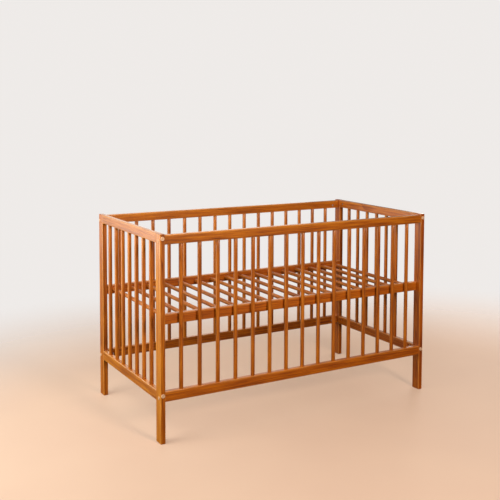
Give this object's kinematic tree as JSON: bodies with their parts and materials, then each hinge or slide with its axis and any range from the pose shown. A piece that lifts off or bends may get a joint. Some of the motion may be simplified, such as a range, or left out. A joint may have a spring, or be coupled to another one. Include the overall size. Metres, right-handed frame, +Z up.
{
  "type": "baby crib",
  "caption": "Slatted wooden crib with flat corner posts, rails, round bars all round and a mattress base of round bars that lifts off its support pins",
  "frame": {"origin": "on the floor under the middle of the crib", "axes": "+X along the crib to the right, +Y from the front long side to the back one, +Z up"},
  "size_m": [1.2436, 0.6836, 0.785],
  "materials": {
    "post_wood": "stained orange brown hardwood, satin lacquer",
    "rail_wood": "stained orange brown hardwood with open straight grain, satin lacquer",
    "bar_wood": "stained orange brown turned hardwood, satin lacquer",
    "bolt_plating": "pale warm zinc plating, satin",
    "nut_steel": "zinc plated steel",
    "pin_steel": "zinc plated steel",
    "insert_brass": "plain brass"
  },
  "bodies": {
    "frame": {"back_bottom_rail": "rail_wood", "back_slat_01": "bar_wood", "back_slat_02": "bar_wood", "back_slat_03": "bar_wood", "back_slat_04": "bar_wood", "back_slat_05": "bar_wood", "back_slat_06": "bar_wood", "back_slat_07": "bar_wood", "back_slat_08": "bar_wood", "back_slat_09": "bar_wood", "back_slat_10": "bar_wood", "back_slat_11": "bar_wood", "back_slat_12": "bar_wood", "back_slat_13": "bar_wood", "back_slat_14": "bar_wood", "back_slat_15": "bar_wood", "back_top_rail": "rail_wood", "base_support_pins": "pin_steel", "end_barrel_nuts": "nut_steel", "end_bolts": "bolt_plating", "front_bottom_rail": "rail_wood", "front_slat_01": "bar_wood", "front_slat_02": "bar_wood", "front_slat_03": "bar_wood", "front_slat_04": "bar_wood", "front_slat_05": "bar_wood", "front_slat_06": "bar_wood", "front_slat_07": "bar_wood", "front_slat_08": "bar_wood", "front_slat_09": "bar_wood", "front_slat_10": "bar_wood", "front_slat_11": "bar_wood", "front_slat_12": "bar_wood", "front_slat_13": "bar_wood", "front_slat_14": "bar_wood", "front_slat_15": "bar_wood", "front_top_rail": "rail_wood", "left_end_bottom_rail": "rail_wood", "left_end_slats": "bar_wood", "left_end_top_rail": "rail_wood", "post_back_left": "post_wood", "post_back_right": "post_wood", "post_front_left": "post_wood", "post_front_right": "post_wood", "right_end_bottom_rail": "rail_wood", "right_end_slats": "bar_wood", "right_end_top_rail": "rail_wood", "side_barrel_nuts": "nut_steel", "side_bolts": "bolt_plating", "threaded_inserts": "insert_brass"},
    "mattress_base": {"base_front_rail": "rail_wood", "base_back_rail": "rail_wood", "base_bars": "bar_wood"}
  },
  "joints": [
    {"name": "base_lift", "type": "slide", "parent": "frame", "child": "mattress_base", "axis": [0, 0, 1], "range_m": [0, 0.3]}
  ]
}
